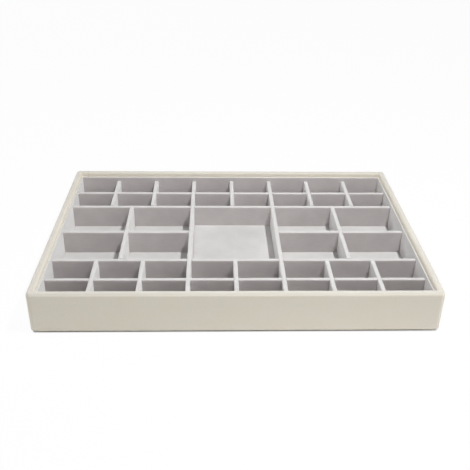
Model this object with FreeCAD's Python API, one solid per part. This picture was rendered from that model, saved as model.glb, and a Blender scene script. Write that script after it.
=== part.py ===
import FreeCAD, Part
import os

# Jewelry tray: a wrapped rigid box with a lapped grid of velvet dividers.
# Millimetres, +Z up, front towards -Y, origin on the resting face at the middle of the tray.

# Overall sizes
TRAY_WIDTH = 375.8
TRAY_DEPTH = 255.8
TRAY_HEIGHT = 42.6

# Wall of the box: a board with the leatherette turned round it
WALL_BOARD = 5.0
WRAP = 0.7
CORNER_RADIUS = 4.5
POCKET_CORNER_RADIUS = 0.5
RIM_OUTER_RADIUS = 2.4
RIM_INNER_RADIUS = 1.6
FOOT_EDGE_RADIUS = 0.6
SEAM_GAP = 0.3
SEAM_FROM_CORNER = 14.0

# Base: the board between the walls, and the plinth that nests in the rim of a tray below
BASE_BOARD = 3.0
PLINTH_BOARD = 1.8
UNDERSIDE_CLOTH = 0.6
PLINTH_CLEARANCE = 0.6
PLINTH_CORNER_RADIUS = 3.0

# Floor: a velvet-covered card, and the raised pad of the centre cell
FLOOR_CARD = 1.6
FLOOR_VELVET = 0.8
CENTRE_PAD_CARD = 0.6
CENTRE_PAD_VELVET = 0.6

# Liners: velvet-covered cards on the inside of the walls
LINER_CARD = 0.6
LINER_VELVET = 0.6
LINER_DROP = 5.4
LINER_FOLD_RADIUS = 0.8

# Dividers: velvet folded over a board, lapped where they cross
DIVIDER_BOARD = 2.6
DIVIDER_VELVET = 0.8
DIVIDER_DROP = 10.2
DIVIDER_FOLD_RADIUS = 1.1
SMALL_ROW_DEPTH = 29.3
SMALL_COLUMNS = 8
CENTRE_COLUMNS = 2

# Clearances, how far a cutting tool runs past what it cuts, and how near counts as the same place
FIT = 0.15
LAP_CLEARANCE = 0.1
OVERRUN = 5.0
SAME_PLACE = 0.001

# Limits on the rounded edges: the least radius, and shares of the thickness that they may take
LEAST_RADIUS = 0.2
ROUND_THICKNESS_SHARE = 0.45
FOLD_VELVET_SHARE = 2.5

# Heights
cloth_top = UNDERSIDE_CLOTH
wall_foot = cloth_top + PLINTH_BOARD
board_foot = wall_foot + WRAP
base_top = wall_foot + BASE_BOARD
card_top = base_top + FLOOR_CARD
floor_top = card_top + FLOOR_VELVET
pad_card_top = floor_top + CENTRE_PAD_CARD
pad_top = pad_card_top + CENTRE_PAD_VELVET
board_top = TRAY_HEIGHT - WRAP
liner_top = TRAY_HEIGHT - LINER_DROP
divider_top = TRAY_HEIGHT - DIVIDER_DROP
lap_height = (floor_top + divider_top) / 2

# Plan sizes: the rim, the pocket inside it, and the field of cells inside the liners
rim = WALL_BOARD + 2 * WRAP
pocket_width = TRAY_WIDTH - 2 * rim
pocket_depth = TRAY_DEPTH - 2 * rim
lined_width = pocket_width - 2 * FIT
lined_depth = pocket_depth - 2 * FIT
liner = LINER_CARD + LINER_VELVET
field_width = lined_width - 2 * liner
field_depth = lined_depth - 2 * liner
plinth_width = pocket_width - 2 * PLINTH_CLEARANCE
plinth_depth = pocket_depth - 2 * PLINTH_CLEARANCE

# The grid: columns are evenly spaced, and the two middle rows share what the small rows leave
divider = DIVIDER_BOARD + 2 * DIVIDER_VELVET
column_pitch = (field_width + divider) / SMALL_COLUMNS
row_pitch = SMALL_ROW_DEPTH + divider
outer_row_y = field_depth / 2 - SMALL_ROW_DEPTH - divider / 2
inner_row_y = outer_row_y - row_pitch
side_columns = (SMALL_COLUMNS - CENTRE_COLUMNS) // 2
centre_walls = (side_columns, side_columns + CENTRE_COLUMNS)


def column_x(number):
    """Centre of the cross divider after this many columns, counted from the left."""
    return (number - SMALL_COLUMNS / 2) * column_pitch


def box(low, high):
    """Box from its lowest to its highest corner."""
    size = FreeCAD.Vector(*high) - FreeCAD.Vector(*low)
    return Part.makeBox(size.x, size.y, size.z, FreeCAD.Vector(*low))


def edges_at(shape, height):
    """Edges that lie wholly at one height."""
    low, high = height - SAME_PLACE, height + SAME_PLACE
    return [e for e in shape.Edges if e.BoundBox.ZMin > low and e.BoundBox.ZMax < high]


def inset_radius(radius, inset):
    """Radius of a rounded edge on a layer that lies deeper by an inset."""
    return max(radius - inset, LEAST_RADIUS)


def fold_radius(radius, velvet, thickness):
    """Radius of a velvet fold, kept clear of the board inside it."""
    return min(radius, velvet * FOLD_VELVET_SHARE, thickness * ROUND_THICKNESS_SHARE)


def slab(width, depth, radius, bottom, top):
    """Rectangular slab with rounded upright corners, centred on the Z axis."""
    block = box((-width / 2, -depth / 2, bottom), (width / 2, depth / 2, top))
    upright = [e for e in block.Edges if e.BoundBox.ZLength > (top - bottom) / 2]
    return block.makeFillet(radius, upright)


def wall_ring(inset, foot, top):
    """The walls as one ring, shrunk all round by an inset, with its rim and foot edges rounded."""
    width = TRAY_WIDTH - 2 * inset
    depth = TRAY_DEPTH - 2 * inset
    hole_width = pocket_width + 2 * inset
    hole_depth = pocket_depth + 2 * inset
    most = rim * ROUND_THICKNESS_SHARE
    outer_radius = inset_radius(min(RIM_OUTER_RADIUS, most), inset)
    inner_radius = inset_radius(min(RIM_INNER_RADIUS, most), inset)
    block = slab(width, depth, inset_radius(CORNER_RADIUS, inset), foot, top)
    block = block.makeFillet(inset_radius(FOOT_EDGE_RADIUS, inset), edges_at(block, foot))
    block = block.makeFillet(outer_radius, edges_at(block, top))
    hole = slab(hole_width, hole_depth, POCKET_CORNER_RADIUS + inset, foot - OVERRUN, top + OVERRUN)
    ring = block.cut(hole)
    inner = [e for e in edges_at(ring, top) if is_on_hole(e, hole_width, hole_depth)]
    return ring.makeFillet(inner_radius, inner)


def is_on_hole(edge, hole_width, hole_depth):
    """True for an edge on the outline of the hole in a ring."""
    middle = edge.valueAt((edge.FirstParameter + edge.LastParameter) / 2)
    is_within_width = abs(middle.x) < hole_width / 2 + SAME_PLACE
    return is_within_width and abs(middle.y) < hole_depth / 2 + SAME_PLACE


def wall_sector(side):
    """Plan of one wall, with a mitre at each end, as a tall prism."""
    x = TRAY_WIDTH / 2
    y = TRAY_DEPTH / 2
    reach = rim + CORNER_RADIUS
    corners = {
        "front": ((-x, -y), (x, -y), (x - reach, -y + reach), (-x + reach, -y + reach)),
        "right": ((x, -y), (x, y), (x - reach, y - reach), (x - reach, -y + reach)),
        "rear": ((x, y), (-x, y), (-x + reach, y - reach), (x - reach, y - reach)),
        "left": ((-x, y), (-x, -y), (-x + reach, -y + reach), (-x + reach, y - reach)),
    }[side]
    points = [FreeCAD.Vector(px, py, -OVERRUN) for px, py in corners]
    plan = Part.Face(Part.makePolygon(points + points[:1]))
    return plan.extrude(FreeCAD.Vector(0, 0, TRAY_HEIGHT + 2 * OVERRUN))


def make_walls():
    """Four mitred wall boards, and the one strip of leatherette turned round them all."""
    boards = wall_ring(WRAP, board_foot, board_top)
    nodes = {}
    for side in ("front", "right", "rear", "left"):
        nodes["wall_board_" + side] = boards.common(wall_sector(side))
    well = slab(
        TRAY_WIDTH - 2 * (WRAP + WALL_BOARD),
        TRAY_DEPTH - 2 * (WRAP + WALL_BOARD),
        POCKET_CORNER_RADIUS + WRAP,
        wall_foot - OVERRUN,
        base_top,
    )
    seam_x = -TRAY_WIDTH / 2 + SEAM_FROM_CORNER
    seam = box(
        (seam_x, TRAY_DEPTH / 2 - rim - FIT, -OVERRUN),
        (seam_x + SEAM_GAP, TRAY_DEPTH / 2 + OVERRUN, TRAY_HEIGHT + OVERRUN),
    )
    wrap = wall_ring(0, wall_foot, TRAY_HEIGHT)
    nodes["leatherette_wrap"] = wrap.cut(boards).cut(well).cut(seam)
    return nodes


def make_base():
    """Base board, and the plinth board in its cloth cover."""
    well_inset = WRAP + WALL_BOARD + FIT
    base = slab(
        TRAY_WIDTH - 2 * well_inset,
        TRAY_DEPTH - 2 * well_inset,
        POCKET_CORNER_RADIUS + WRAP,
        wall_foot,
        base_top,
    )
    plinth = slab(
        plinth_width - 2 * UNDERSIDE_CLOTH,
        plinth_depth - 2 * UNDERSIDE_CLOTH,
        inset_radius(PLINTH_CORNER_RADIUS, UNDERSIDE_CLOTH),
        cloth_top,
        wall_foot,
    )
    cover = slab(plinth_width, plinth_depth, PLINTH_CORNER_RADIUS, 0, wall_foot)
    return {"base_board": base, "plinth_board": plinth, "underside_cloth": cover.cut(plinth)}


def make_floor():
    """Floor card with its velvet, and the raised pad that fills the centre cell."""
    left = column_x(centre_walls[0]) + divider / 2 + FIT
    right = column_x(centre_walls[1]) - divider / 2 - FIT
    front = -inner_row_y + divider / 2 + FIT
    rear = inner_row_y - divider / 2 - FIT
    return {
        "floor_card": slab(lined_width, lined_depth, POCKET_CORNER_RADIUS, base_top, card_top),
        "floor_velvet": slab(lined_width, lined_depth, POCKET_CORNER_RADIUS, card_top, floor_top),
        "centre_pad_card": box((left, front, floor_top), (right, rear, pad_card_top)),
        "centre_pad_velvet": box((left, front, pad_card_top), (right, rear, pad_top)),
    }


def fold_top(block, height, radius, keep):
    """Rounds the top edges that the test keeps, as velvet does where it folds over a board."""
    return block.makeFillet(radius, [e for e in edges_at(block, height) if keep(e)])


def liner_pair(side, low, high, card_low, card_high, is_fold):
    """One liner: its card, and the velvet on the card's face and top."""
    pocket = slab(lined_width, lined_depth, POCKET_CORNER_RADIUS, floor_top, liner_top)
    fold = fold_radius(LINER_FOLD_RADIUS, LINER_VELVET, liner)
    whole = fold_top(box(low, high), liner_top, fold, is_fold).common(pocket)
    card = box(card_low, card_high).common(pocket)
    return {"liner_card_" + side: card, "liner_velvet_" + side: whole.cut(card)}


def make_liners():
    """Front and rear liners run the whole width, and the side liners stand between them."""
    nodes = {}
    card_height = liner_top - LINER_VELVET
    half_width = lined_width / 2
    for side, sign in (("front", -1), ("rear", 1)):
        back = sign * lined_depth / 2
        face = sign * field_depth / 2
        card_face = face + sign * LINER_VELVET
        y0, y1 = sorted((back, face))
        card_y0, card_y1 = sorted((back, card_face))
        nodes.update(liner_pair(
            side,
            (-half_width, y0, floor_top), (half_width, y1, liner_top),
            (-half_width, card_y0, floor_top), (half_width, card_y1, card_height),
            lambda e, face=face: abs(e.CenterOfMass.y - face) < SAME_PLACE,
        ))
    half_depth = field_depth / 2 - FIT
    for side, sign in (("left", -1), ("right", 1)):
        back = sign * lined_width / 2
        face = sign * field_width / 2
        card_face = face + sign * LINER_VELVET
        x0, x1 = sorted((back, face))
        card_x0, card_x1 = sorted((back, card_face))
        nodes.update(liner_pair(
            side,
            (x0, -half_depth, floor_top), (x1, half_depth, liner_top),
            (card_x0, -half_depth, floor_top), (card_x1, half_depth, card_height),
            lambda e, face=face: abs(e.CenterOfMass.x - face) < SAME_PLACE,
        ))
    return nodes


def divider_pair(name, start, end, across, slots, is_long):
    """One divider along X (long) or Y (cross): its board and its folded velvet, slotted where it crosses.

    start and end are its two ends, across its centre line, and slots the centre lines of what it crosses.
    A long divider is slotted from the top, and a cross divider from the bottom.
    """
    half = divider / 2
    half_board = DIVIDER_BOARD / 2
    slot_half = half + FIT
    board_top_z = divider_top - DIVIDER_VELVET

    def plan(a0, a1, c0, c1, z0, z1):
        if is_long:
            return box((a0, c0, z0), (a1, c1, z1))
        return box((c0, a0, z0), (c1, a1, z1))

    whole = plan(start, end, across - half, across + half, floor_top, divider_top)
    length = end - start
    fold = fold_radius(DIVIDER_FOLD_RADIUS, DIVIDER_VELVET, divider)
    whole = fold_top(whole, divider_top, fold, lambda e: e.Length > length / 2)
    board = plan(start, end, across - half_board, across + half_board, floor_top, board_top_z)
    velvet = whole.cut(board)
    for centre in slots:
        if is_long:
            bottom, top = lap_height - LAP_CLEARANCE, divider_top + OVERRUN
        else:
            bottom, top = floor_top - OVERRUN, lap_height + LAP_CLEARANCE
        slot = plan(
            centre - slot_half, centre + slot_half,
            across - divider, across + divider,
            bottom, top,
        )
        board = board.cut(slot)
        velvet = velvet.cut(slot)
    return {name + "_board": board, name + "_velvet": velvet}


def make_dividers():
    """The whole grid: long dividers across the width, cross dividers from front to rear."""
    nodes = {}
    end_x = field_width / 2 - FIT
    end_y = field_depth / 2 - FIT
    butt = divider / 2 + FIT
    columns = range(1, SMALL_COLUMNS)
    short_columns = [n for n in columns if n not in centre_walls]
    every_x = [column_x(n) for n in columns]
    centre_x = [column_x(n) for n in centre_walls]

    # Long dividers between the small rows cross every column, the inner pair only the centre walls.
    for side, sign in (("rear", 1), ("front", -1)):
        nodes.update(divider_pair(f"long_{side}_outer", -end_x, end_x, sign * outer_row_y, every_x, True))
        nodes.update(divider_pair(f"long_{side}_inner", -end_x, end_x, sign * inner_row_y, centre_x, True))

    # Centre walls run the whole depth and cross all four long dividers.
    crossed = [-outer_row_y, -inner_row_y, inner_row_y, outer_row_y]
    for side, x in zip(("left", "right"), centre_x):
        nodes.update(divider_pair(f"cross_centre_{side}", -end_y, end_y, x, crossed, False))

    # Short cross dividers run from the liner to the inner long divider, and cross the outer one.
    for count, number in enumerate(short_columns, start=1):
        x = column_x(number)
        near = inner_row_y + butt
        nodes.update(divider_pair(f"cross_rear_{count}", near, end_y, x, [outer_row_y], False))
        nodes.update(divider_pair(f"cross_front_{count}", -end_y, -near, x, [-outer_row_y], False))

    # The deep cells at each side of the centre: one long and one cross divider, lapped in the middle.
    for side, sign, wall_x in zip(("left", "right"), (-1, 1), centre_x):
        wall_face = wall_x + sign * divider / 2
        middle_x = (wall_face + sign * field_width / 2) / 2
        x0, x1 = sorted((wall_face + sign * FIT, sign * end_x))
        nodes.update(divider_pair(f"long_middle_{side}", x0, x1, 0, [middle_x], True))
        reach = inner_row_y - butt
        nodes.update(divider_pair(f"cross_middle_{side}", -reach, reach, middle_x, [0], False))
    return nodes


def main():
    nodes = {}
    for maker in (make_walls, make_base, make_floor, make_liners, make_dividers):
        nodes.update(maker())
    os.makedirs("parts", exist_ok=True)
    for name, shape in nodes.items():
        solids = shape.Solids
        print(f"{name}: {len(solids)} solid, valid {shape.isValid()}")
        whole = solids[0] if len(solids) == 1 else Part.makeCompound(solids)
        whole.exportStep(f"parts/{name}.step")
    print(f"{len(nodes)} nodes, field {field_width:.1f} x {field_depth:.1f}")


main()
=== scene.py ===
# %% [markdown]
# # A jewelry tray
# A shallow box of four boards is wrapped in cream leatherette and lined with light grey velvet. A lapped grid
# of velvet-covered dividers makes small, deep and centre cells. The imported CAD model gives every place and
# size. This lesson dresses it: the rigid boards and cards stay as they are, and everything soft is modelled
# anew over them.

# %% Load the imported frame
import math

import bpy
import numpy as np
from mathutils import Matrix, Vector, noise


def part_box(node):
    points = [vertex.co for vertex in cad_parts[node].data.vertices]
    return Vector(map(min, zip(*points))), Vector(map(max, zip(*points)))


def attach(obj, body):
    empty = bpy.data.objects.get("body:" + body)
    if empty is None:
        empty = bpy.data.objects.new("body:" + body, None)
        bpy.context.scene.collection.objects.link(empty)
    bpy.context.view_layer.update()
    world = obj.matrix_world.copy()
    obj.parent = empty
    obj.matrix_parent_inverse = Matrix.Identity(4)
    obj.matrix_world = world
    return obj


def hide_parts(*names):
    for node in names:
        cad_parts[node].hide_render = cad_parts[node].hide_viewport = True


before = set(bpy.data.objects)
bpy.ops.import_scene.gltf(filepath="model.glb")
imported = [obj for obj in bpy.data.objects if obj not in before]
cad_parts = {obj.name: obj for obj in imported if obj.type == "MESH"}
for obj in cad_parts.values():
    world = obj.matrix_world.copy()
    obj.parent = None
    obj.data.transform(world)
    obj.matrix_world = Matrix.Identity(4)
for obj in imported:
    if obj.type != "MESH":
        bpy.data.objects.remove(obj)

scene = bpy.context.scene
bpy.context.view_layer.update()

# %% [markdown]
# ## Sizes
# Blender works in metres here, so the thin layers are written in millimetres and scaled once. Whatever the
# CAD model can tell, such as where a divider stands, is read from it, so that the soft pieces follow it if it
# is packed again.

# %% Sizes of the layers
MM = 0.001
RIM = 6.4 * MM  # width of the rim
WRAP = 0.7 * MM  # thickness of the leatherette
CORNER_RADIUS = 4.5 * MM  # upright corners outside
POCKET_RADIUS = 0.5 * MM  # upright corners inside
RIM_OUTER = 2.4 * MM  # rounding along the outer edge of the rim
RIM_INNER = 1.6 * MM  # rounding along its inner edge
RIM_CROWN = 0.4 * MM  # how far the rim bulges in its middle
FOOT_RADIUS = 0.6 * MM  # rounding along the foot
DIVIDER_CLOTH = 0.8 * MM
DIVIDER_FOLD = 0.9 * MM
LINER_CLOTH = 0.6 * MM
LINER_FOLD = 0.6 * MM
SLOT_PLAY = 0.15 * MM
LAP_PLAY = 0.1 * MM
QUARTER_TURN = math.pi / 2

wrap_low, wrap_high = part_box("leatherette_wrap")
floor_low, floor_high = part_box("floor_velvet")
base_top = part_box("base_board")[1].z
print(f"rim at {wrap_high.z / MM:.1f} mm, cell floor at {floor_high.z / MM:.1f} mm")

# %% [markdown]
# ## The stage
# The tray stands on a plain white floor. Around it the floor shows as nearly pure white to the camera, as a
# studio sweep does. Under the overhanging foot it is an ordinary matt white, so it keeps the dark contact
# line. The world is white to look at, and a much weaker dome of light for everything else.

# %% Small helpers for node trees
MIX_FACTOR, MIX_LOW, MIX_HIGH, MIX_COLOUR = 0, 6, 7, 2  # a Mix node's sockets for colours


def put(tree, kind, **inputs):
    """Adds a node, sets or links its inputs by name, and returns it."""
    node = tree.nodes.new(kind)
    for name, value in inputs.items():
        wire(tree, value, node.inputs[name.replace("_", " ")])
    return node


def wire(tree, value, socket):
    """Links an output to a socket, or sets the socket to a plain value."""
    if isinstance(value, bpy.types.NodeSocket):
        tree.links.new(value, socket)
    elif isinstance(value, bpy.types.Node):
        tree.links.new(value.outputs[0], socket)
    else:
        socket.default_value = value


def sums(tree, operation, *values):
    """A Math node on one to three values, which may be numbers or sockets."""
    node = tree.nodes.new("ShaderNodeMath")
    node.operation = operation
    for value, socket in zip(values, node.inputs):
        wire(tree, value, socket)
    return node.outputs[0]


def blend_colour(tree, factor, low, high, mode="MIX"):
    """A Mix node for colours."""
    node = tree.nodes.new("ShaderNodeMix")
    node.data_type = "RGBA"
    node.blend_type = mode
    wire(tree, factor, node.inputs[MIX_FACTOR])
    wire(tree, low, node.inputs[MIX_LOW])
    wire(tree, high, node.inputs[MIX_HIGH])
    return node.outputs[MIX_COLOUR]


def spread(tree, value, low, high, to_low=0.0, to_high=1.0):
    """A smooth Map Range from low..high to to_low..to_high."""
    node = tree.nodes.new("ShaderNodeMapRange")
    node.interpolation_type = "SMOOTHSTEP"
    for place, number in enumerate((value, low, high, to_low, to_high)):
        wire(tree, number, node.inputs[place])
    return node.outputs[0]


# %% Floor and world
WHITE = (1.0, 1.0, 1.0, 1.0)
FLOOR_REACH = 4.0
FLOOR_WHITE = (0.83, 0.83, 0.83, 1.0)
FLOOR_GLOW_SHARE = 0.96  # the rest of the seen floor is matt, and keeps a faint shadow
FLOOR_GLOW_NEAR = -2.2 * MM  # further under the tray than this, nothing glows
FLOOR_GLOW_FAR = -0.6 * MM  # from here outwards the glow has its full share
DOME_STRENGTH = 0.05

floor_mesh = bpy.data.meshes.new("studio_floor")
floor_mesh.from_pydata(
    [(-FLOOR_REACH, -FLOOR_REACH, 0), (FLOOR_REACH, -FLOOR_REACH, 0),
     (FLOOR_REACH, FLOOR_REACH, 0), (-FLOOR_REACH, FLOOR_REACH, 0)], [], [(0, 1, 2, 3)])
floor = bpy.data.objects.new("studio_floor", floor_mesh)
scene.collection.objects.link(floor)


def is_looked_at(tree):
    """1 for rays from the camera, a mirror or glass, and 0 for rays that only carry light."""
    path = tree.nodes.new("ShaderNodeLightPath")
    seen = sums(tree, "MAXIMUM", path.outputs["Is Camera Ray"], path.outputs["Is Glossy Ray"])
    return sums(tree, "MAXIMUM", seen, path.outputs["Is Transmission Ray"])


def distance_from_tray(tree):
    """How far a point of the floor lies outside the tray's rounded outline, below 0 under the tray."""
    place = put(tree, "ShaderNodeTexCoord").outputs["Object"]
    across = put(tree, "ShaderNodeSeparateXYZ", Vector=place)
    beside, before = (
        sums(tree, "SUBTRACT", sums(tree, "ABSOLUTE", across.outputs[axis]), wrap_high[axis] - CORNER_RADIUS)
        for axis in (0, 1))
    past_x, past_y = sums(tree, "MAXIMUM", beside, 0.0), sums(tree, "MAXIMUM", before, 0.0)
    squares = sums(tree, "MULTIPLY_ADD", past_x, past_x, sums(tree, "MULTIPLY", past_y, past_y))
    within = sums(tree, "MINIMUM", sums(tree, "MAXIMUM", beside, before), 0.0)
    return sums(tree, "SUBTRACT", sums(tree, "ADD", sums(tree, "SQRT", squares), within), CORNER_RADIUS)


def studio_floor_material():
    """Matt white under the tray, and mostly a white glow around it for the camera."""
    material = bpy.data.materials.new("studio_white")
    material.use_nodes = True
    tree = material.node_tree
    tree.nodes.clear()
    away = distance_from_tray(tree)
    glow = spread(tree, away, FLOOR_GLOW_NEAR, FLOOR_GLOW_FAR, 0.0, FLOOR_GLOW_SHARE)
    mixed = tree.nodes.new("ShaderNodeMixShader")
    wire(tree, sums(tree, "MULTIPLY", glow, is_looked_at(tree)), mixed.inputs[0])
    wire(tree, put(tree, "ShaderNodeBsdfDiffuse", Color=FLOOR_WHITE), mixed.inputs[1])
    wire(tree, put(tree, "ShaderNodeEmission", Color=WHITE, Strength=1.0), mixed.inputs[2])
    put(tree, "ShaderNodeOutputMaterial", Surface=mixed)
    return material


floor_mesh.materials.append(studio_floor_material())
world = bpy.data.worlds.new("studio_dome")
world.use_nodes = True
scene.world = world
sky = world.node_tree
sky.nodes.clear()
dome = put(sky, "ShaderNodeBackground", Color=WHITE)
wire(sky, spread(sky, is_looked_at(sky), 0.0, 1.0, DOME_STRENGTH, 1.0), dome.inputs["Strength"])
put(sky, "ShaderNodeOutputWorld", Surface=dome)
print("stage: floor", FLOOR_REACH * 2, "m wide, dome at", DOME_STRENGTH)

# %% [markdown]
# ## Camera and lamps
# The camera's place, tilt and lens come from fitting the tray's edges and outline in the photograph. The
# picture was cropped, so its optical axis lies above its middle, and the lens is shifted to match. The shadow
# edges inside the cells meet above the right front of the tray, so a small key lamp hangs there. Four broad
# lamps stand far away and light the outer sides, each with its own power. A smaller one close overhead fills
# the cells, because their floors stay light even in the key's shadow.

# %% Camera
IMAGE_WIDTH = 470
FOCAL_PIXELS = 660.73
AXIS_ABOVE_MIDDLE = 27.62  # pixels
SENSOR = 36.0
CLIP_START = 0.01
CAMERA_PLACE = (-20.89 * MM, -605.89 * MM, 390.36 * MM)
CAMERA_YAW, CAMERA_PITCH, CAMERA_ROLL = (math.radians(a) for a in (2.0466, -28.4946, 1.0532))

ahead = Vector((
    math.sin(CAMERA_YAW) * math.cos(CAMERA_PITCH),
    math.cos(CAMERA_YAW) * math.cos(CAMERA_PITCH),
    math.sin(CAMERA_PITCH),
))
level_right = Vector((math.cos(CAMERA_YAW), -math.sin(CAMERA_YAW), 0))
level_up = level_right.cross(ahead)
right = level_right * math.cos(CAMERA_ROLL) + level_up * math.sin(CAMERA_ROLL)
up = level_up * math.cos(CAMERA_ROLL) - level_right * math.sin(CAMERA_ROLL)
camera_data = bpy.data.cameras.new("photo_camera")
camera_data.sensor_width = SENSOR
camera_data.lens = FOCAL_PIXELS / IMAGE_WIDTH * SENSOR
camera_data.shift_y = -AXIS_ABOVE_MIDDLE / IMAGE_WIDTH
camera_data.clip_start = CLIP_START
camera = bpy.data.objects.new("photo_camera", camera_data)
camera.matrix_world = Matrix.Translation(CAMERA_PLACE) @ Matrix((right, up, -ahead)).transposed().to_4x4()
scene.collection.objects.link(camera)
scene.camera = camera
scene.view_settings.view_transform = "Standard"
print(f"lens {camera_data.lens:.1f} mm")

# %% Lamps
TRAY_MIDDLE = (0.0, 0.0, 0.03)
# Name, place, target, width and power, in metres and watts.
LAMPS = (
    ("key", (0.255, -0.2, 0.82), TRAY_MIDDLE, 0.035, 5.85),
    ("front_soft", (-0.4, -2.98, 1.09), TRAY_MIDDLE, 1.2, 11.0),
    ("right_soft", (3.03, -0.43, 0.94), TRAY_MIDDLE, 1.2, 35.0),
    ("left_soft", (-3.1, -0.3, 0.75), TRAY_MIDDLE, 1.2, 18.5),
    ("rear_left_soft", (-1.96, 1.96, 1.6), TRAY_MIDDLE, 1.2, 25.0),
    ("overhead_soft", (-0.15, 0.0, 0.6), (-0.1, 0.0, 0.03), 0.3, 0.67),
)


def add_lamp(name, place, target, width, power):
    """A round lamp that faces a target."""
    data = bpy.data.lights.new(name, "AREA")
    data.shape = "DISK"
    data.size = width
    data.energy = power
    lamp = bpy.data.objects.new(name, data)
    way = Vector(target) - Vector(place)
    lamp.matrix_world = Matrix.Translation(place) @ way.to_track_quat("-Z", "Y").to_matrix().to_4x4()
    scene.collection.objects.link(lamp)


for lamp_values in LAMPS:
    add_lamp(*lamp_values)

# %% [markdown]
# ## Finishes
# Three effects are shader node groups, each built once, so that a material can use one or combine two: a
# pebbled hide grain, the nap of a pile cloth, and the fibres of board and card. A group puts out only masks
# and heights. The Principled shader stays in each material, with its constant values, such as the sheen, on
# its own sockets.

# %% Node group helpers
VECTOR, FLOAT = "NodeSocketVector", "NodeSocketFloat"
NOISE_VALUE, NOISE_COLOUR = 0, 1  # a noise texture's outputs


def new_group(name, inputs, outputs):
    """An empty shader node group with named inputs and outputs, and the sockets inside it."""
    group = bpy.data.node_groups.new(name, "ShaderNodeTree")
    for label, kind in inputs:
        group.interface.new_socket(name=label, in_out="INPUT", socket_type=kind)
    for label, kind in outputs:
        group.interface.new_socket(name=label, in_out="OUTPUT", socket_type=kind)
    return group, group.nodes.new("NodeGroupInput").outputs, group.nodes.new("NodeGroupOutput").inputs


def noise_at(tree, place, scale, detail=2.0, rough=0.5, out=NOISE_VALUE):
    """A noise texture's value at a place, at so many features to the metre."""
    node = put(tree, "ShaderNodeTexNoise", Vector=place, Scale=scale, Detail=detail, Roughness=rough)
    return node.outputs[out]


# %% Hide grain group
PEBBLE_BEND = 0.6 * MM  # how far the pebbles are pulled out of shape
PEBBLE_BEND_SCALE_SHARE = 0.6
FINE_SCALE_SHARE = 3.0
FINE_HEIGHT_SHARE = 0.25
PEBBLE_SLOPE = (0.0, 0.45)  # distance from a pebble's edge, as a share of its size, where it rises
CREASE_SLOPE = (0.02, 0.22)  # and where the crease around it ends
MOTTLE_SCALE = 38.0


def hide_grain_group():
    """Small pebbles with creases between them, and a slow mottle."""
    group, given, made = new_group(
        "hide_grain", [("Place", VECTOR), ("Pebbles", FLOAT)],
        [("Height", FLOAT), ("Crease", FLOAT), ("Mottle", FLOAT)])
    place, pebbles = given["Place"], given["Pebbles"]
    bend_scale = sums(group, "MULTIPLY", pebbles, PEBBLE_BEND_SCALE_SHARE)
    bent = group.nodes.new("ShaderNodeVectorMath")
    bent.operation = "MULTIPLY_ADD"
    wire(group, noise_at(group, place, bend_scale, out=NOISE_COLOUR), bent.inputs[0])
    bent.inputs[1].default_value = (PEBBLE_BEND, PEBBLE_BEND, PEBBLE_BEND)
    wire(group, place, bent.inputs[2])
    cells = put(group, "ShaderNodeTexVoronoi", Vector=bent.outputs[0], Scale=pebbles)
    cells.feature = "DISTANCE_TO_EDGE"
    fine = noise_at(group, place, sums(group, "MULTIPLY", pebbles, FINE_SCALE_SHARE))
    pebble_height = spread(group, cells.outputs["Distance"], *PEBBLE_SLOPE)
    wire(group, sums(group, "MULTIPLY_ADD", fine, FINE_HEIGHT_SHARE, pebble_height), made["Height"])
    wire(group, spread(group, cells.outputs["Distance"], *CREASE_SLOPE, 1.0, 0.0), made["Crease"])
    wire(group, noise_at(group, place, MOTTLE_SCALE, 3.0), made["Mottle"])
    return group


# %% Pile nap group
STREAK_STRETCH = (0.18, 1.0, 1.0)
STREAK_SCALE = 620.0
PATCH_SCALE = 46.0


def pile_nap_group():
    """Streaks where the pile lies over, soft patches where it was brushed, and the tips of the pile."""
    group, given, made = new_group(
        "pile_nap", [("Place", VECTOR), ("Tips", FLOAT)],
        [("Streak", FLOAT), ("Patch", FLOAT), ("Height", FLOAT)])
    place = given["Place"]
    long_way = put(group, "ShaderNodeMapping", Vector=place, Scale=STREAK_STRETCH)
    wire(group, noise_at(group, long_way.outputs[0], STREAK_SCALE, 3.0, 0.6), made["Streak"])
    wire(group, noise_at(group, place, PATCH_SCALE), made["Patch"])
    wire(group, noise_at(group, place, given["Tips"], 3.0, 0.7), made["Height"])
    return group


# %% Board fibre group
FIBRE_STRETCH = (0.25, 1.0, 1.0)
FIBRE_TURN = (0.3, 0.2, 0.7)
FIBRE_HEIGHT_SCALE_SHARE = 2.0


def board_fibre_group():
    """Short pale and dark fibres pressed together."""
    group, given, made = new_group(
        "board_fibre", [("Place", VECTOR), ("Fibres", FLOAT)], [("Fleck", FLOAT), ("Height", FLOAT)])
    place, fibres = given["Place"], given["Fibres"]
    turned = put(group, "ShaderNodeMapping", Vector=place, Scale=FIBRE_STRETCH, Rotation=FIBRE_TURN)
    wire(group, noise_at(group, turned.outputs[0], fibres, 4.0, 0.65), made["Fleck"])
    height_scale = sums(group, "MULTIPLY", fibres, FIBRE_HEIGHT_SCALE_SHARE)
    wire(group, noise_at(group, place, height_scale), made["Height"])
    return group


hide_grain, pile_nap, board_fibre = hide_grain_group(), pile_nap_group(), board_fibre_group()
print("groups:", hide_grain.name, pile_nap.name, board_fibre.name)

# %% Material helpers
MID_NOISE = (0.3, 0.7)  # most values of a noise texture lie between these
WIDE_NOISE = (0.2, 0.8)  # and nearly all of them between these


def new_material(name):
    """A material with only a Principled shader, its tree and the shader."""
    material = bpy.data.materials.new(name)
    material.use_nodes = True
    tree = material.node_tree
    return material, tree, tree.nodes["Principled BSDF"]


def use_group(tree, group, place, value):
    """Places a shared group in a material and returns its outputs."""
    node = tree.nodes.new("ShaderNodeGroup")
    node.node_tree = group
    wire(tree, place, node.inputs[0])
    node.inputs[1].default_value = value
    return node.outputs


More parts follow.
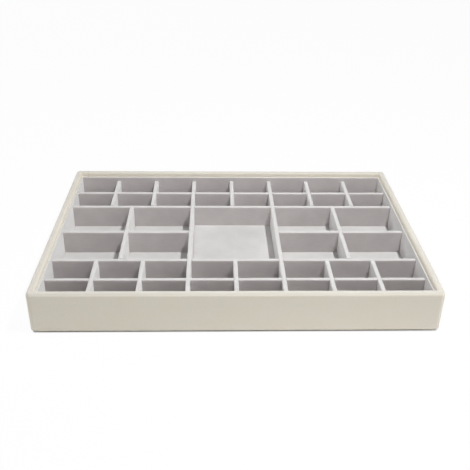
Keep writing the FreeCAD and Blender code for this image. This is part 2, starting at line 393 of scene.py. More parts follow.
def bump(tree, shader, height, depth, strength):
    """A Bump node of a real depth in metres, on the shader's normal."""
    node = put(tree, "ShaderNodeBump", Height=height, Distance=depth, Strength=strength)
    wire(tree, node, shader.inputs["Normal"])


# %% Leatherette
CREAM = (0.825, 0.780, 0.686, 1.0)
CREAM_CREASE = (0.735, 0.683, 0.580, 1.0)
CREAM_WARM = (0.828, 0.775, 0.664, 1.0)
# painted shade for the top of the rim, which the lamps light most
CREAM_RIM_SHADE = (0.586, 0.560, 0.509, 1.0)
PEBBLES_PER_METRE = 1150.0
CREASE_TINT = 0.45
LEATHERETTE_ROUGH = (0.50, 0.60)
CREASE_ROUGHER = 0.14
EDGE_LEAST = 0.86
EDGE_SMOOTHER = -0.08
GRAIN_DEPTH, GRAIN_STRENGTH = 0.12 * MM, 0.55


def leatherette_material():
    """Cream coated cloth: pebbled and a little mottled. Along the top of the rim painted shade darkens it to
    a greyer tone, and it is also smoother there.
    """
    material, tree, shader = new_material("cream_leatherette")
    place = put(tree, "ShaderNodeTexCoord").outputs["Object"]
    grain = use_group(tree, hide_grain, place, PEBBLES_PER_METRE)
    tone = blend_colour(tree, spread(tree, grain["Mottle"], *MID_NOISE), CREAM, CREAM_WARM)
    tone = blend_colour(tree, sums(tree, "MULTIPLY", grain["Crease"], CREASE_TINT), tone, CREAM_CREASE)
    # The edge attribute marks the top of the rim. Its colour there is painted shade, and the same mask makes
    # it smoother.
    edge = put(tree, "ShaderNodeAttribute")
    edge.attribute_name = "edge"
    evenness = spread(tree, grain["Mottle"], *MID_NOISE, EDGE_LEAST, 1.0)
    rim_shade_and_rub = sums(tree, "MULTIPLY", edge.outputs["Fac"], evenness)
    wire(tree, blend_colour(tree, rim_shade_and_rub, tone, CREAM_RIM_SHADE), shader.inputs["Base Color"])
    rough = spread(tree, grain["Mottle"], *MID_NOISE, *LEATHERETTE_ROUGH)
    rough = sums(tree, "MULTIPLY_ADD", grain["Crease"], CREASE_ROUGHER, rough)
    wire(tree, sums(tree, "MULTIPLY_ADD", rim_shade_and_rub, EDGE_SMOOTHER, rough), shader.inputs["Roughness"])
    shader.inputs["Specular IOR Level"].default_value = 0.25
    bump(tree, shader, grain["Height"], GRAIN_DEPTH, GRAIN_STRENGTH)
    return material


# %% Velvet
# A darker, pinker head-on colour and two paler ones, for a painted sheen at slanting and skimming views
VELVET_DEEP = (0.562, 0.528, 0.526, 1.0)
VELVET_SLANT_SHEEN = (0.606, 0.598, 0.588, 1.0)
VELVET_SKIM_SHEEN = (0.700, 0.694, 0.688, 1.0)
SLANT_SHEEN_FACING = (0.05, 0.5)  # painted sheen, from a straight look to a slanting one
SKIM_SHEEN_FACING = (0.5, 0.75)  # and on to a skimming one, paler still
NAP_DARK = (0.93, 0.93, 0.93, 1.0)
NAP_LIGHT = (1.03, 1.03, 1.03, 1.0)
PATCH_SHARE, STREAK_SHARE = 0.6, 0.4
VELVET_SHEEN_TINT = (1.0, 0.985, 0.97, 1.0)
VELVET_ROUGH = (0.95, 0.82)
VELVET_TIPS_PER_METRE = 2600.0
PILE_DEPTH, PILE_STRENGTH = 0.25 * MM, 0.6


def velvet_material():
    """Short grey pile with a painted sheen: its colour is mixed paler towards grazing views, and its nap lies
    in streaks and patches.
    """
    material, tree, shader = new_material("grey_velvet")
    place = put(tree, "ShaderNodeUVMap")
    place.uv_map = "cloth"
    nap = use_group(tree, pile_nap, place.outputs[0], VELVET_TIPS_PER_METRE)
    # Painted sheen: the base colour goes from the darker head-on colour to paler ones as the view grazes the
    # cloth.
    facing = put(tree, "ShaderNodeLayerWeight", Blend=0.5).outputs["Facing"]
    tone = blend_colour(tree, spread(tree, facing, *SLANT_SHEEN_FACING), VELVET_DEEP, VELVET_SLANT_SHEEN)
    tone = blend_colour(tree, spread(tree, facing, *SKIM_SHEEN_FACING), tone, VELVET_SKIM_SHEEN)
    streaks = sums(tree, "MULTIPLY", nap["Streak"], STREAK_SHARE)
    lie = sums(tree, "MULTIPLY_ADD", nap["Patch"], PATCH_SHARE, streaks)
    shade = blend_colour(tree, spread(tree, lie, *MID_NOISE), NAP_DARK, NAP_LIGHT)
    wire(tree, blend_colour(tree, 1.0, tone, shade, "MULTIPLY"), shader.inputs["Base Color"])
    wire(tree, spread(tree, nap["Streak"], *WIDE_NOISE, *VELVET_ROUGH), shader.inputs["Roughness"])
    shader.inputs["Specular IOR Level"].default_value = 0.1
    shader.inputs["Sheen Weight"].default_value = 1.0
    shader.inputs["Sheen Roughness"].default_value = 0.35
    shader.inputs["Sheen Tint"].default_value = VELVET_SHEEN_TINT
    bump(tree, shader, nap["Height"], PILE_DEPTH, PILE_STRENGTH)
    return material


# %% Felt, board and card
FELT_DARK = (0.360, 0.335, 0.300, 1.0)
FELT_PALE = (0.520, 0.495, 0.450, 1.0)
FELT_PATCH_TINT = 0.3
FELT_FIBRES_PER_METRE = 900.0
FELT_TIPS_PER_METRE = 1500.0
FELT_ROUGH = (0.98, 0.88)
FELT_DEPTH, FELT_STRENGTH = 0.3 * MM, 0.7
BOARD_FLECKS = (0.25, 0.75)
BOARD_ROUGH = (0.9, 0.75)
BOARD_DEPTH, BOARD_STRENGTH = 0.1 * MM, 0.5
BROWN_DARK, BROWN_PALE = (0.30, 0.19, 0.10, 1.0), (0.52, 0.37, 0.23, 1.0)
GREY_DARK, GREY_PALE = (0.22, 0.215, 0.20, 1.0), (0.42, 0.41, 0.385, 1.0)
BROWN_FIBRES_PER_METRE, GREY_FIBRES_PER_METRE = 700.0, 1100.0


def felt_material():
    """Flat felted cloth under the tray, with matted fibres."""
    material, tree, shader = new_material("underside_felt")
    place = put(tree, "ShaderNodeTexCoord").outputs["Object"]
    fibre = use_group(tree, board_fibre, place, FELT_FIBRES_PER_METRE)
    nap = use_group(tree, pile_nap, place, FELT_TIPS_PER_METRE)
    tone = blend_colour(tree, spread(tree, fibre["Fleck"], *MID_NOISE), FELT_DARK, FELT_PALE)
    patches = spread(tree, nap["Patch"], *MID_NOISE, 0.0, FELT_PATCH_TINT)
    wire(tree, blend_colour(tree, patches, tone, FELT_PALE), shader.inputs["Base Color"])
    wire(tree, spread(tree, fibre["Fleck"], *WIDE_NOISE, *FELT_ROUGH), shader.inputs["Roughness"])
    shader.inputs["Specular IOR Level"].default_value = 0.1
    shader.inputs["Sheen Weight"].default_value = 0.4
    shader.inputs["Sheen Roughness"].default_value = 0.5
    bump(tree, shader, nap["Height"], FELT_DEPTH, FELT_STRENGTH)
    return material


def board_material(name, dark, pale, fibres):
    """Pressed board or card: flecked, dry and slightly uneven."""
    material, tree, shader = new_material(name)
    place = put(tree, "ShaderNodeTexCoord").outputs["Object"]
    fibre = use_group(tree, board_fibre, place, fibres)
    flecks = spread(tree, fibre["Fleck"], *BOARD_FLECKS)
    wire(tree, blend_colour(tree, flecks, dark, pale), shader.inputs["Base Color"])
    wire(tree, spread(tree, fibre["Fleck"], *WIDE_NOISE, *BOARD_ROUGH), shader.inputs["Roughness"])
    shader.inputs["Specular IOR Level"].default_value = 0.25
    bump(tree, shader, fibre["Height"], BOARD_DEPTH, BOARD_STRENGTH)
    return material


leatherette = leatherette_material()
velvet = velvet_material()
felt = felt_material()
fibreboard = board_material("brown_fibreboard", BROWN_DARK, BROWN_PALE, BROWN_FIBRES_PER_METRE)
greyboard = board_material("grey_card", GREY_DARK, GREY_PALE, GREY_FIBRES_PER_METRE)
print("materials:", [m.name for m in (leatherette, velvet, felt, fibreboard, greyboard)])

# %% [markdown]
# ## Boards and cards
# The fibreboard walls, the base and the greyboard inside the dividers are already right as CAD solids. They
# only need a finish: a pressed, flecked one, since hardly any of them shows once the covers are on.

# %% Finish the CAD boards
finished = []
for name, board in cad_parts.items():
    if name.startswith("wall_board") or name in ("base_board", "plinth_board"):
        finish = fibreboard
    elif name.endswith(("_board", "_card")) or name.startswith("liner_card"):
        finish = greyboard
    else:
        continue
    board.data.materials.clear()
    board.data.materials.append(finish)
    finished.append(name)
print(len(finished), "boards and cards finished")

# %% [markdown]
# ## From loops to a covered box
# The leatherette is one strip, turned over the rim and under the foot. Its cross-section is a closed line of
# points, each a distance in from the outside and a height. Every such point becomes a rounded rectangle round
# the tray. All the rectangles have the same stations, so neighbours join into clean quads, and the corner
# radius can change from the outside, where it is round, to the inside, where the strip is folded into a tight
# corner.

# %% Piece helpers
CLOTH_SHARP, FOLD_SHARP, STRIP_SHARP = 40.0, 50.0, 55.0  # degrees from which an edge looks sharp


def add_piece(name, points, faces):
    """A mesh object at the origin, with its place in its mesh."""
    mesh = bpy.data.meshes.new(name)
    mesh.from_pydata(points, [], faces)
    mesh.validate()
    mesh.update()
    piece = bpy.data.objects.new(name, mesh)
    scene.collection.objects.link(piece)
    return piece


def complete(piece, material, node, sharp):
    """Gives a piece its finish, rides it on the tray and puts it in place of a CAD node."""
    if not piece.data.materials:
        piece.data.materials.append(material)
    piece.data.shade_smooth()
    piece.data.set_sharp_from_angle(angle=math.radians(sharp))
    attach(piece, "root")
    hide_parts(node)


# %% Rounded outlines
CORNER_STEPS = 8
CORNER_RUN = 8.0 * MM  # how far before a corner the even stations of a side end
RUN_STEP = 5.0 * MM
SEAM_FROM_CORNER = 14.0 * MM
SEAM_GAP = 0.3 * MM
SEAM_X = wrap_low.x + SEAM_FROM_CORNER
RUN_X, RUN_Y = wrap_high.x - CORNER_RUN, wrap_high.y - CORNER_RUN
# From the seam in the rear round the left, the front and the right, back to the seam.
SIDE_RUNS = ((SEAM_X, -RUN_X), (RUN_Y, -RUN_Y), (-RUN_X, RUN_X), (-RUN_Y, RUN_Y), (RUN_X, SEAM_X + SEAM_GAP))
CORNER_SIGNS = ((1, 1), (-1, 1), (-1, -1), (1, -1))


def steps(start, end, step):
    """Even stations from start to end, no further apart than a step."""
    return np.linspace(start, end, max(2, math.ceil(abs(end - start) / step) + 1))


def corner(x, y, radius, quarter):
    """An arc at one corner of a rectangle that reaches to x and y, counted round from the one at +x +y."""
    sign_x, sign_y = CORNER_SIGNS[quarter]
    centre_x, centre_y = sign_x * (x - radius), sign_y * (y - radius)
    turn = np.linspace(quarter * QUARTER_TURN, (quarter + 1) * QUARTER_TURN, CORNER_STEPS + 1)
    return [(centre_x + radius * math.cos(a), centre_y + radius * math.sin(a)) for a in turn]


def outline(inset, radius):
    """Plan points round the tray at an inset, from one lip of the rear seam to the other."""
    x, y = wrap_high.x - inset, wrap_high.y - inset
    rear, left_side, front, right_side, rear_again = (steps(*run, RUN_STEP) for run in SIDE_RUNS)
    points = [(px, y) for px in rear] + corner(x, y, radius, 1)
    points += [(-x, py) for py in left_side] + corner(x, y, radius, 2)
    points += [(px, -y) for px in front] + corner(x, y, radius, 3)
    points += [(x, py) for py in right_side] + corner(x, y, radius, 0)
    return points + [(px, y) for px in rear_again]


def corner_stations():
    """The stations in the middle of each corner."""
    count, middles = 0, []
    for run in SIDE_RUNS[:-1]:
        count += len(steps(*run, RUN_STEP))
        middles.append(count + CORNER_STEPS // 2)
        count += CORNER_STEPS + 1
    return middles


# %% Cross-section of the leatherette strip
ARC_STEPS = 9
INSIDE_STEP, RIM_STEP, OUTSIDE_STEP, UNDER_STEP = 6.0 * MM, 0.8 * MM, 4.0 * MM, 1.2 * MM
LEAST_RADIUS = 0.3 * MM


def arc(centre_in, centre_up, radius, first, last):
    """Points of an arc in the cross-section, as inset and height. At 0 degrees it points inwards."""
    turn = np.radians(np.linspace(first, last, ARC_STEPS + 1))
    return [(centre_in + radius * math.cos(a), centre_up + radius * math.sin(a)) for a in turn]


def crown(inset):
    """How far the strip swells above the board's edge, most in the middle of the rim."""
    return RIM_CROWN * max(0.0, 1 - (2 * inset / RIM - 1) ** 2)


def strip_section(depth, inner_end, under_end):
    """One surface of the strip, at a depth below its face, from the inner hem to the hem under the foot."""
    top, foot = wrap_high.z - depth, wrap_low.z + depth
    outer_radius, inner_radius = RIM_OUTER - depth, RIM_INNER - depth
    foot_radius = max(FOOT_RADIUS - depth, LEAST_RADIUS)
    inside, outside = RIM - depth, depth
    line = [(inside, z) for z in steps(inner_end, top - inner_radius, INSIDE_STEP)[:-1]]
    line += arc(inside - inner_radius, top - inner_radius, inner_radius, 0, 90)
    line += [(p, top) for p in steps(inside - inner_radius, outside + outer_radius, RIM_STEP)[1:-1]]
    line += arc(outside + outer_radius, top - outer_radius, outer_radius, 90, 180)
    line += [(outside, z) for z in steps(top - outer_radius, foot + foot_radius, OUTSIDE_STEP)[1:-1]]
    line += arc(outside + foot_radius, foot + foot_radius, foot_radius, 180, 270)
    line += [(p, foot) for p in steps(outside + foot_radius, under_end, UNDER_STEP)[1:]]
    return [(p, z + crown(p) if z > (top + foot) / 2 else z) for p, z in line]


def corner_radius_at(inset):
    """Outside the corner is round, inside it is tight, and the rim blends between the two."""
    share = min(max((inset - RIM_OUTER) / (RIM - RIM_OUTER - RIM_INNER), 0.0), 1.0)
    share = share * share * (3 - 2 * share)
    outer = max(CORNER_RADIUS - inset, LEAST_RADIUS)
    return outer * (1 - share) + (POCKET_RADIUS + RIM - inset) * share


# %% The leatherette strip
UNEVEN = 0.03 * MM
UNEVEN_SCALE = 26.0
CREASE_DEPTH = 0.16 * MM  # of the folds in the inner corners
RIM_SHADE_REACH = RIM_OUTER / 2  # how far below the rim's top its painted shade ends
LIP_STATIONS = 2  # stations at each lip of the seam that stay even


def make_leatherette():
    """Lofts the strip, makes it slightly uneven and creases its inner corners."""
    face = strip_section(0.0, base_top, RIM - WRAP)
    back = strip_section(WRAP, base_top, RIM - WRAP)[::-1]
    loops = []
    for inset, z in face + back:
        loops.append([Vector((x, y, z)) for x, y in outline(inset, corner_radius_at(inset))])
    stations, rows = len(loops[0]), len(loops)
    faces = []
    for row in range(rows):
        here, after = row * stations, (row + 1) % rows * stations
        faces += [(here + s, after + s, after + s + 1, here + s + 1) for s in range(stations - 1)]
    faces.append([row * stations for row in range(rows)])
    faces.append([row * stations + stations - 1 for row in reversed(range(rows))])
    piece = add_piece("leatherette_strip", [p for loop in loops for p in loop], faces)
    mesh = piece.data
    # The edge attribute marks the rim's top, for the material's painted shade and smoother finish.
    edge = mesh.attributes.new("edge", "FLOAT", "POINT")
    creased = corner_stations()
    normals = [v.normal.copy() for v in mesh.vertices]
    for row, (inset, z) in enumerate(face):
        rim_share = min(max(1 - (wrap_high.z - z) / RIM_SHADE_REACH, 0.0), 1.0)
        for s in range(stations):
            v = mesh.vertices[row * stations + s]
            is_even = s < LIP_STATIONS or s >= stations - LIP_STATIONS
            swell = 0.0 if is_even else noise.noise(v.co * UNEVEN_SCALE) * UNEVEN
            if s in creased and inset > RIM / 2:
                swell -= CREASE_DEPTH
            v.co += normals[v.index] * swell
            edge.data[v.index].value = rim_share
    mesh.update()
    complete(piece, leatherette, "leatherette_wrap", STRIP_SHARP)
    print("leatherette strip:", len(mesh.polygons), "faces")


make_leatherette()

# %% [markdown]
# ## Velvet folded over the dividers
# Each divider is a board with a piece of velvet folded over its top edge, slotted where another divider
# crosses it. The velvet could be modelled upright, but it is simpler to do what the maker does: cut a flat
# blank with its slots, and fold it. A Geometry Nodes tree does the folding, since it is the same rule for
# every divider. It rolls the blank over a rounded top, lets it swell and sway a little with fixed seeds,
# gives it the cloth's thickness, and puts it in its place. The liners on the walls use the same tree with
# half a blank, because they fold over one side only.

# %% The rule that folds a blank
SWELL_SCALE, SWELL_DETAIL = 55.0, 1.5
SWAY_SCALE, SWAY_DETAIL = 22.0, 1.0
SWAY_SEED_SHIFT = 50.0


def seeded_noise(tree, place, seed, scale, detail):
    """Noise around 0 that differs from seed to seed."""
    node = tree.nodes.new("ShaderNodeTexNoise")
    node.noise_dimensions = "4D"
    for label, value in (("Vector", place), ("W", seed), ("Scale", scale), ("Detail", detail)):
        wire(tree, value, node.inputs[label])
    return sums(tree, "SUBTRACT", node.outputs[0], 0.5)


def folded_place(tree, given, along, across, spot):
    """Where a point of the flat blank comes to lie on the board."""
    reach, side = sums(tree, "ABSOLUTE", across), sums(tree, "SIGN", across)
    radius = given["Fold Radius"]
    level = sums(tree, "SUBTRACT", given["Half Thickness"], radius)
    past_level = sums(tree, "SUBTRACT", reach, level)
    rolled = sums(tree, "MAXIMUM", sums(tree, "DIVIDE", past_level, radius), 0.0)
    bend = sums(tree, "MINIMUM", rolled, QUARTER_TURN)
    sine, cosine = sums(tree, "SINE", bend), sums(tree, "COSINE", bend)
    out = sums(tree, "MULTIPLY_ADD", radius, sine, sums(tree, "MINIMUM", reach, level))
    hang = sums(tree, "SUBTRACT", past_level, sums(tree, "MULTIPLY", radius, QUARTER_TURN))
    top = sums(tree, "SUBTRACT", sums(tree, "MULTIPLY_ADD", radius, cosine, given["Height"]), radius)
    rise = sums(tree, "SUBTRACT", top, sums(tree, "MAXIMUM", hang, 0.0))

    swell = seeded_noise(tree, spot, given["Seed"], SWELL_SCALE, SWELL_DETAIL)
    puff = sums(tree, "MULTIPLY", swell, given["Swell"])
    line = put(tree, "ShaderNodeCombineXYZ", X=along)
    sway_seed = sums(tree, "ADD", given["Seed"], SWAY_SEED_SHIFT)
    sway = seeded_noise(tree, line, sway_seed, SWAY_SCALE, SWAY_DETAIL)
    lean = sums(tree, "MULTIPLY", sway, given["Sway"])
    lean = sums(tree, "MULTIPLY", lean, sums(tree, "DIVIDE", rise, given["Height"]))

    push_out = sums(tree, "MULTIPLY", side, sums(tree, "MULTIPLY_ADD", sine, puff, out))
    return put(
        tree, "ShaderNodeCombineXYZ", X=along, Y=sums(tree, "ADD", push_out, lean),
        Z=sums(tree, "MULTIPLY_ADD", cosine, puff, rise))


# %% Geometry Nodes tree that folds a blank
MERGE_DISTANCE = 0.001 * MM
FOLD_INPUTS = (
    ("Blank", "NodeSocketGeometry"), ("Half Thickness", FLOAT), ("Fold Radius", FLOAT), ("Height", FLOAT),
    ("Cloth", FLOAT), ("Swell", FLOAT), ("Sway", FLOAT), ("Seed", FLOAT), ("Turn", FLOAT), ("Place", VECTOR),
    ("Velvet", "NodeSocketMaterial"),
)


def fold_tree():
    """Maps the blank, folds it, gives it a back, and stands it in its place."""
    tree = bpy.data.node_groups.new("fold_velvet_over_board", "GeometryNodeTree")
    names = {}
    for label, kind in FOLD_INPUTS:
        names[label] = tree.interface.new_socket(name=label, in_out="INPUT", socket_type=kind).identifier
    tree.interface.new_socket(name="Folded", in_out="OUTPUT", socket_type="NodeSocketGeometry")
    given = tree.nodes.new("NodeGroupInput").outputs
    flat = put(tree, "ShaderNodeSeparateXYZ", Vector=put(tree, "GeometryNodeInputPosition"))
    along, across = flat.outputs[0], flat.outputs[1]
    spot = put(tree, "ShaderNodeCombineXYZ", X=along, Y=across)
    mapped = tree.nodes.new("GeometryNodeStoreNamedAttribute")
    mapped.data_type = "FLOAT2"
    mapped.domain = "CORNER"
    wire(tree, given["Blank"], mapped.inputs["Geometry"])
    mapped.inputs["Name"].default_value = "cloth"
    wire(tree, spot, mapped.inputs["Value"])
    shape = folded_place(tree, given, along, across, spot)
    folded = put(tree, "GeometryNodeSetPosition", Geometry=mapped, Position=shape)
    lining = tree.nodes.new("GeometryNodeExtrudeMesh")
    wire(tree, folded, lining.inputs["Mesh"])
    wire(tree, sums(tree, "MULTIPLY", given["Cloth"], -1.0), lining.inputs["Offset Scale"])
    lining.inputs["Individual"].default_value = False
    turned = put(tree, "GeometryNodeFlipFaces", Mesh=lining.outputs["Mesh"])
    joined = tree.nodes.new("GeometryNodeJoinGeometry")
    tree.links.new(folded.outputs[0], joined.inputs[0])
    tree.links.new(turned.outputs[0], joined.inputs[0])
    closed = put(tree, "GeometryNodeMergeByDistance", Geometry=joined, Distance=MERGE_DISTANCE)
    angle = put(tree, "ShaderNodeCombineXYZ", Z=given["Turn"])
    stood = put(tree, "GeometryNodeTransform", Geometry=closed, Translation=given["Place"], Rotation=angle)
    real = put(tree, "GeometryNodeRealizeInstances", Geometry=stood)
    dressed = put(tree, "GeometryNodeSetMaterial", Geometry=real, Material=given["Velvet"])
    put(tree, "NodeGroupOutput", Folded=dressed)
    return tree, names


fold, fold_names = fold_tree()
print("fold tree inputs:", list(fold_names))

# %% Cutting a flat blank
BLANK_STEP = 3.0 * MM
TOP_STEP = 0.5 * MM
FOLD_STEPS = 6
SLOT_CLEAR = 0.4 * MM  # no other station lies closer to a slot than this
DIGITS = 8  # places are compared to so many decimals of a metre


def fold_rows(half, radius, height, is_half, extra):
    """Where the rows of a blank lie across it: over the top, round the fold and down the sides."""
    level, quarter = half - radius, radius * QUARTER_TURN
    rows = list(steps(0.0, level, TOP_STEP)) if level > 0 else [0.0]
    rows += [level + quarter * k / FOLD_STEPS for k in range(1, FOLD_STEPS + 1)]
    fall = list(steps(0.0, height - radius, BLANK_STEP)) + [height - radius - z for z in extra]
    rows += [level + quarter + z for z in sorted(set(fall)) if z > 0]
    rows = sorted({round(r, DIGITS) for r in rows})
    return rows if is_half else sorted({-r for r in rows} | set(rows))


def cut_blank(name, length, rows, slots, keeps_face):
    """A flat grid of cloth, with no faces where the slots are."""
    stations = set(np.round(steps(-length / 2, length / 2, BLANK_STEP), DIGITS))
    for low, high in slots:
        stations -= {s for s in stations if low - SLOT_CLEAR < s < high + SLOT_CLEAR}
        stations |= {round(low, DIGITS), round(high, DIGITS)}
    stations = sorted(stations | {round(-length / 2, DIGITS), round(length / 2, DIGITS)})
    used, points, faces = {}, [], []

    def point(i, j):
        if (i, j) not in used:
            used[(i, j)] = len(points)
            points.append((stations[i], rows[j], 0.0))
        return used[(i, j)]

    for i in range(len(stations) - 1):
        middle = (stations[i] + stations[i + 1]) / 2
        is_slot = any(low < middle < high for low, high in slots)
        for j in range(len(rows) - 1):
            if keeps_face(is_slot, abs(rows[j] + rows[j + 1]) / 2):
                faces.append((point(i, j), point(i + 1, j), point(i + 1, j + 1), point(i, j + 1)))
    return add_piece(name, points, faces)


def fold_blank(piece, **inputs):
    """Runs the fold tree on a blank and keeps the result as a plain mesh."""
    modifier = piece.modifiers.new("fold", "NODES")
    modifier.node_group = fold
    for label, value in inputs.items():
        modifier[fold_names[label.replace("_", " ")]] = value
    graph = bpy.context.evaluated_depsgraph_get()
    made = bpy.data.meshes.new_from_object(piece.evaluated_get(graph))
    flat, piece.data = piece.data, made
    piece.modifiers.clear()
    made.name = piece.name
    bpy.data.meshes.remove(flat)


# %% Fold the divider velvets
SWELL = 0.2 * MM
SWAY = 0.22 * MM
ALONG_X, ALONG_Y = (0, 1), (1, 0)  # the axis along a divider or liner, and the one across it
# How much fuller than its solid a velvet stands on its board, at the rear and at the front.
FULLER = {
    "long_rear_inner": (0.0, 0.45 * MM),
    "long_middle_left": (-0.2 * MM, 1.0 * MM),
    "long_middle_right": (-0.2 * MM, 1.0 * MM),
}
divider_names = sorted(
    n[:-len("_velvet")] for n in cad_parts
    if n.startswith(("long_", "cross_")) and n.endswith("_velvet"))
divider_boxes = {n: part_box(n + "_velvet") for n in divider_names}


def crossings(name, way, over):
    """Where other dividers pass right across this one, along its length."""
    low, high = divider_boxes[name]
    found = []
    for other, (other_low, other_high) in divider_boxes.items():
        middle = (other_low[way] + other_high[way]) / 2
        passes = other_low[over] < low[over] and other_high[over] > high[over]
        if other.split("_")[0] != name.split("_")[0] and low[way] < middle < high[way] and passes:
            found.append(middle)
    return found


def fold_divider(name, seed):
    """Cuts and folds one divider's velvet. Long ones are slotted from above, the others from below."""
    low, high = divider_boxes[name]
    is_long = name.startswith("long_")
    way, over = ALONG_X if is_long else ALONG_Y
    length, half = high[way] - low[way], (high[over] - low[over]) / 2
    height, centre = high.z - low.z, (low + high) / 2
    slot_half = half + SLOT_PLAY
    at_rear, at_front = FULLER.get(name, (0.0, 0.0))
    half += (at_rear + at_front) / 2
    centre[over] += (at_rear - at_front) / 2
    places = [middle - centre[way] for middle in crossings(name, way, over)]
    slots = [(place - slot_half, place + slot_half) for place in places]
    lap = height / 2 + (-LAP_PLAY if is_long else LAP_PLAY)
    rows = fold_rows(half, DIVIDER_FOLD, height, False, [lap])
    lap_row = half - DIVIDER_FOLD + DIVIDER_FOLD * QUARTER_TURN + height - DIVIDER_FOLD - lap

    def keeps_face(is_slot, row):
        return not is_slot or (row > lap_row if is_long else row < lap_row)

    piece = cut_blank(name + "_cover", length, rows, slots, keeps_face)
    fold_blank(
        piece, Half_Thickness=half, Fold_Radius=DIVIDER_FOLD, Height=height, Cloth=DIVIDER_CLOTH, Swell=SWELL,
        Sway=SWAY, Seed=float(seed), Turn=0.0 if is_long else QUARTER_TURN, Velvet=velvet,
        Place=(centre.x, centre.y, low.z))
    complete(piece, velvet, name + "_velvet", FOLD_SHARP)
    return piece


covers = [fold_divider(name, seed) for seed, name in enumerate(divider_names, start=1)]
print(len(covers), "divider covers,", sum(len(c.data.polygons) for c in covers), "faces")

# %% Fold the liner velvets
LINER_SWELL = 0.25 * MM
LINER_FIRST_SEED = 40
liner_turns = {"front": 0.0, "right": QUARTER_TURN, "rear": math.pi, "left": -QUARTER_TURN}
liner_boxes = {side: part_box("liner_velvet_" + side) for side in liner_turns}


def fold_liner(side, seed):
    """Cuts and folds one liner's velvet, with its upper hem against the wall."""
    low, high = liner_boxes[side]
    way, over = ALONG_X if side in ("front", "rear") else ALONG_Y
    length, thick, height = high[way] - low[way], high[over] - low[over], high.z - low.z
    rows = fold_rows(thick, LINER_FOLD, height, True, [])
    piece = cut_blank(f"liner_{side}_cover", length, rows, [], lambda is_slot, row: True)
    back = {"front": (0, low.y), "rear": (0, high.y), "left": (low.x, 0), "right": (high.x, 0)}[side]
    fold_blank(
        piece, Half_Thickness=thick, Fold_Radius=LINER_FOLD, Height=height, Cloth=LINER_CLOTH,
        Swell=LINER_SWELL, Sway=0.0, Seed=float(seed), Turn=liner_turns[side], Velvet=velvet,
        Place=(*back, low.z))
    complete(piece, velvet, "liner_velvet_" + side, FOLD_SHARP)
    return piece


liners = [fold_liner(side, seed) for seed, side in enumerate(liner_turns, start=LINER_FIRST_SEED)]
print(len(liners), "liner covers,", sum(len(c.data.polygons) for c in liners), "faces")

# %% [markdown]
# ## Velvet on the floor
# One piece of velvet covers the floor card, and a second one the raised pad of the centre cell. Cloth over a
# card is never quite flat: it is pressed down where a divider stands on it and springs up a little in the
# middle of a cell. Both are grids. The floor's height is worked out from the distance to the nearest wall,
# and the pad's from the distance to its own edge.

# %% Thin cloth from a height rule
def lay_cloth(name, xs, ys, top, under):
    """A closed sheet of cloth on a grid: its top follows a rule, its underside is level. It gets a UV map in
    metres, so that the nap follows the cloth."""
    columns, rows = len(xs), len(ys)
    upper = [(x, y, top(x, y)) for y in ys for x in xs]
    lower = [(x, y, under) for y in ys for x in xs]
    shift = columns * rows
    faces = []
    for j in range(rows - 1):
        for i in range(columns - 1):
            a, d = j * columns + i, (j + 1) * columns + i
            b, c = a + 1, d + 1
            faces += [(a, b, c, d), (shift + d, shift + c, shift + b, shift + a)]
    rim_path = list(range(columns)) + [j * columns + columns - 1 for j in range(1, rows)]
    rim_path += [(rows - 1) * columns + i for i in range(columns - 2, -1, -1)]
    rim_path += [j * columns for j in range(rows - 2, 0, -1)]
    for a, b in zip(rim_path, rim_path[1:] + rim_path[:1]):
        faces.append((b, a, shift + a, shift + b))
    piece = add_piece(name, upper + lower, faces)
    layer = piece.data.uv_layers.new(name="cloth")
    for loop in piece.data.loops:
        layer.data[loop.index].uv = piece.data.vertices[loop.vertex_index].co.xy
    return piece


def rippled(x, y, scale, seed, share):
    """A factor that is 1 at most, and lower by up to twice a share where the cloth lies flatter."""
    return 1 - share + share * noise.noise(Vector((x * scale, y * scale, seed)))


# %% Floor velvet
FLOOR_RISE = 0.35 * MM
RISE_REACH = 5.0 * MM
FLOOR_STEP = 2.6 * MM
FLOOR_RIPPLE = dict(scale=45.0, seed=3.0, share=0.4)
standing = list(divider_boxes.values()) + list(liner_boxes.values())
plans = [(low.x, high.x, low.y, high.y) for low, high in standing]


def wall_distance(x, y):
    """How far a point of the floor is from the nearest divider or liner, 0 under one."""
    return min(math.hypot(max(x0 - x, 0, x - x1), max(y0 - y, 0, y - y1)) for x0, x1, y0, y1 in plans)


def floor_height(x, y):
    """Level at the foot of the walls, and higher and rippled away from them."""
    spring = 1 - math.exp(-wall_distance(x, y) / RISE_REACH)
    return floor_high.z + FLOOR_RISE * spring * rippled(x, y, **FLOOR_RIPPLE)


floor_cloth = lay_cloth(
    "floor_cover", steps(floor_low.x, floor_high.x, FLOOR_STEP), steps(floor_low.y, floor_high.y, FLOOR_STEP),
    floor_height, floor_low.z)
complete(floor_cloth, velvet, "floor_velvet", CLOTH_SHARP)
print("floor cover:", len(floor_cloth.data.polygons), "faces")

# %% Centre pad
PAD_EDGE = 0.55 * MM  # radius of its rolled edge
PAD_EDGE_STEPS = 5
PAD_RISE = 0.3 * MM
PAD_REACH = 20.0 * MM
PAD_STEP = 2.6 * MM
PAD_RIPPLE = dict(scale=40.0, seed=9.0, share=0.25)
pad_low, pad_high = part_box("centre_pad_velvet")


def pad_lines(low, high):
    """Grid lines across the pad, close together at its rolled edges."""
    turns = [QUARTER_TURN * k / PAD_EDGE_STEPS for k in range(PAD_EDGE_STEPS)]
    edge = [PAD_EDGE * (1 - math.cos(turn)) for turn in turns]
    inner = steps(low + PAD_EDGE, high - PAD_EDGE, PAD_STEP)
    return [low + e for e in edge] + list(inner) + [high - e for e in reversed(edge)]


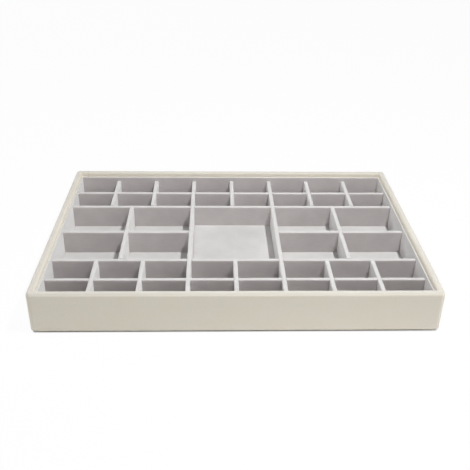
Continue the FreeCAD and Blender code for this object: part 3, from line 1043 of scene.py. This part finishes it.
def pad_height(x, y):
    """Rolled down at the edge, and higher and rippled towards the middle."""
    inward = min(x - pad_low.x, pad_high.x - x, y - pad_low.y, pad_high.y - y)
    short = max(PAD_EDGE - inward, 0.0)
    roll = PAD_EDGE - math.sqrt(max(PAD_EDGE ** 2 - short ** 2, 0.0))
    spring = 1 - math.exp(-inward / PAD_REACH)
    return pad_high.z - roll + PAD_RISE * spring * rippled(x, y, **PAD_RIPPLE)


pad = lay_cloth(
    "centre_pad_cover", pad_lines(pad_low.x, pad_high.x), pad_lines(pad_low.y, pad_high.y),
    pad_height, pad_low.z)
complete(pad, velvet, "centre_pad_velvet", CLOTH_SHARP)
print("centre pad cover:", len(pad.data.polygons), "faces")

# %% [markdown]
# ## Cloth under the tray
# Nobody looks at the underside often, but it is seen when the tray is lifted. A felted cloth is stretched
# over the plinth board and up its edges. It is lofted like the leatherette: rounded rectangles from the edge
# down, round the corner and in towards the middle, once for its face and once for its back.

# %% Underside cloth
CLOTH_THICK = 0.6 * MM
PLINTH_RADIUS = 3.0 * MM
LEAST_PLINTH_RADIUS = 0.4 * MM
UNDER_ROLL = 0.8 * MM
ROLL_STEPS = 4
LEVEL_LOOPS = (6.0 * MM, 30.0 * MM, 70.0 * MM, 112.0 * MM)  # how far in from the rolled edge they lie
cloth_low, cloth_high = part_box("underside_cloth")
plinth_inset = wrap_high.x - cloth_high.x


def cloth_loops(depth):
    """Insets, heights and corner radii of one surface of the cloth."""
    roll = UNDER_ROLL - depth
    start, bottom = plinth_inset + depth, cloth_low.z + depth
    loops = [(start, cloth_high.z), (start, bottom + roll)]
    loops += [(start + roll - roll * math.cos(a), bottom + roll - roll * math.sin(a))
              for a in np.linspace(0, QUARTER_TURN, ROLL_STEPS + 1)[1:]]
    loops += [(start + roll + inward, bottom) for inward in LEVEL_LOOPS]
    radius_end = plinth_inset + PLINTH_RADIUS
    return [(inset, z, max(radius_end - inset, LEAST_PLINTH_RADIUS)) for inset, z in loops]


def make_underside():
    """Lofts the cloth from the middle of its back, round its hem, to the middle of its face."""
    face, back = cloth_loops(0.0), cloth_loops(CLOTH_THICK)[::-1]
    loops = []
    for inset, z, radius in back + face:
        x, y = wrap_high.x - inset, wrap_high.y - inset
        loops.append([(px, py, z) for quarter in range(4) for px, py in corner(x, y, radius, quarter)])
    count = len(loops[0])
    faces = [list(range(count))]
    for row in range(len(loops) - 1):
        here, below = row * count, (row + 1) * count
        for s in range(count):
            after = (s + 1) % count
            faces.append((here + s, below + s, below + after, here + after))
    last = (len(loops) - 1) * count
    faces.append([last + s for s in reversed(range(count))])
    piece = add_piece("underside_cover", [p for loop in loops for p in loop], faces)
    complete(piece, felt, "underside_cloth", FOLD_SHARP)
    print("underside cover:", len(piece.data.polygons), "faces")


make_underside()
